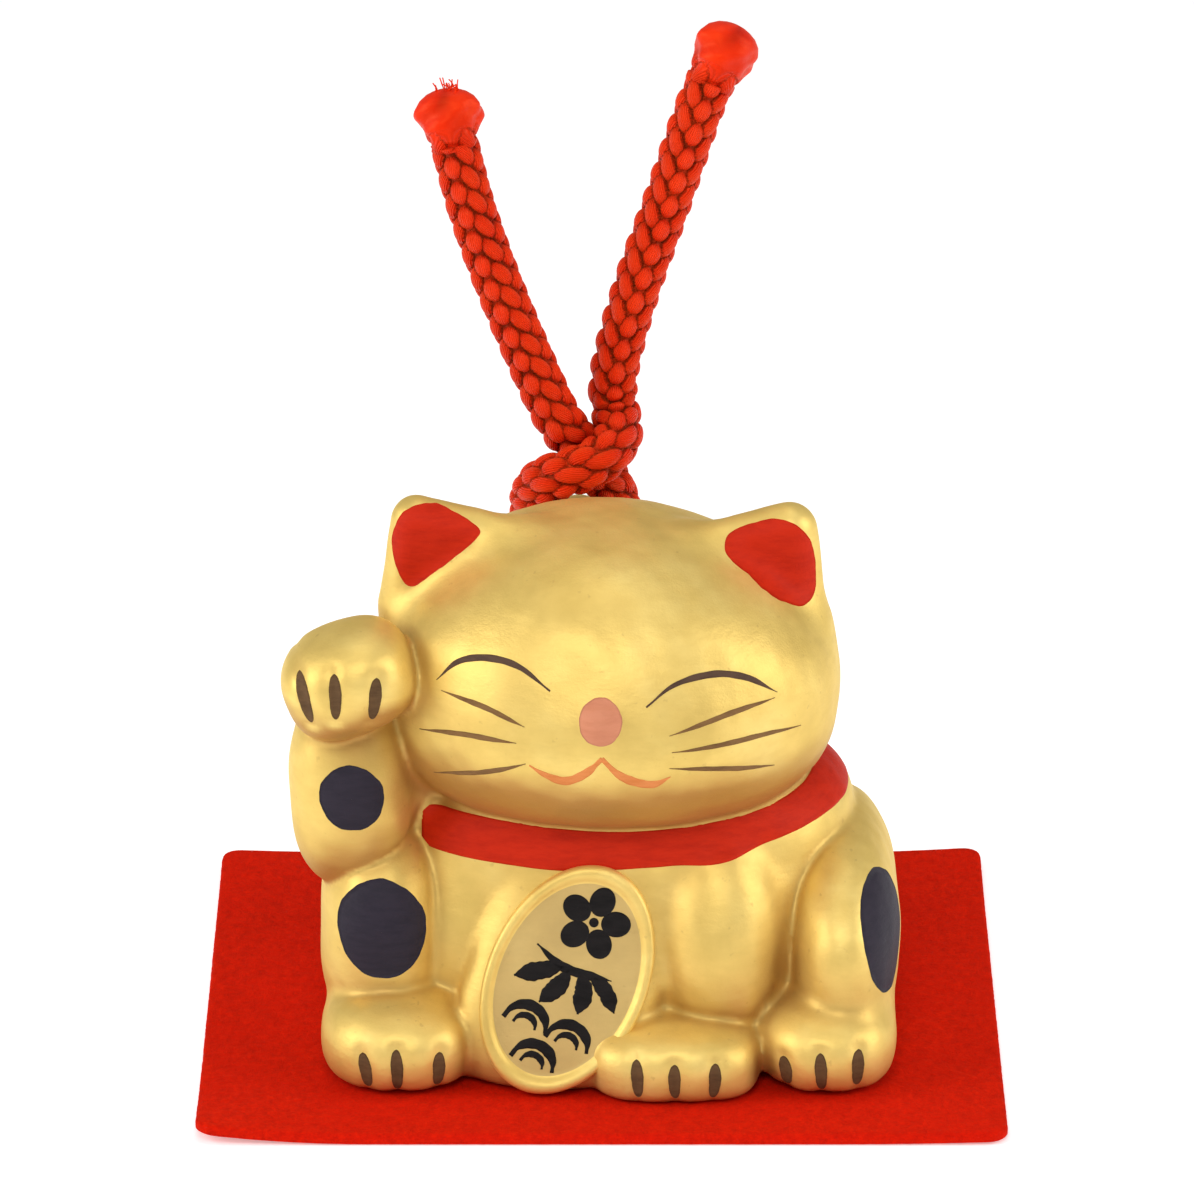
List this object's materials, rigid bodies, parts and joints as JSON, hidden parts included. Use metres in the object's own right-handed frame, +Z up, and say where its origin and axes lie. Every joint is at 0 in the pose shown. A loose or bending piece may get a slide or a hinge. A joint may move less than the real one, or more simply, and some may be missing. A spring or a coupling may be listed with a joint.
{
  "type": "beckoning cat clay bell",
  "caption": "Small hollow clay bell in the shape of a seated cat with one paw raised, on a felt mat, with a knotted braided cord behind its head.",
  "frame": {"origin": "middle of the felt mat's underside", "axes": "+X along the mat's longer side, to the right as the cat is looked at; +Y towards the cat's back; +Z up"},
  "size_m": [0.07, 0.06, 0.0864],
  "materials": {
    "gold_clay": "unglazed earthenware with satin gold paint",
    "matt_gold": "matt pale gold paint on clay",
    "bare_clay": "bare fired clay",
    "red_paint": "matt red paint on clay",
    "dark_paint": "matt blue-black paint on clay",
    "brown_paint": "thin brown brush line on clay",
    "pink_paint": "matt pink paint on clay",
    "orange_paint": "thin orange brush line on clay",
    "red_cord": "satin round braid of eight strands",
    "red_felt": "pressed felt"
  },
  "bodies": {
    "mat": {"felt_mat": "red_felt"},
    "cat": {"front_shell": "gold_clay", "back_shell": "gold_clay", "koban_coin": "matt_gold", "cord_lug": "gold_clay"},
    "pellet": {"rattle_pellet": "bare_clay"},
    "cord": {"cord_loop": "red_cord", "cord_knot": "red_cord", "cord_tail_left": "red_cord", "cord_tail_right": "red_cord", "cord_tip_left": "red_cord", "cord_tip_right": "red_cord"}
  },
  "joints": [
    {"name": "cat_lift", "type": "slide", "parent": "mat", "child": "cat", "axis": [0, 0, 1], "range_m": [0, 0.04]},
    {"name": "pellet_roll", "type": "slide", "parent": "cat", "child": "pellet", "axis": [1, 0, 0], "range_m": [-0.009, 0.009]},
    {"name": "cord_swing", "type": "hinge", "parent": "cat", "child": "cord", "pos_m": [-0.002, 0.0167, 0.036], "axis": [1, 0, 0], "range_deg": [-105, 0]}
  ]
}
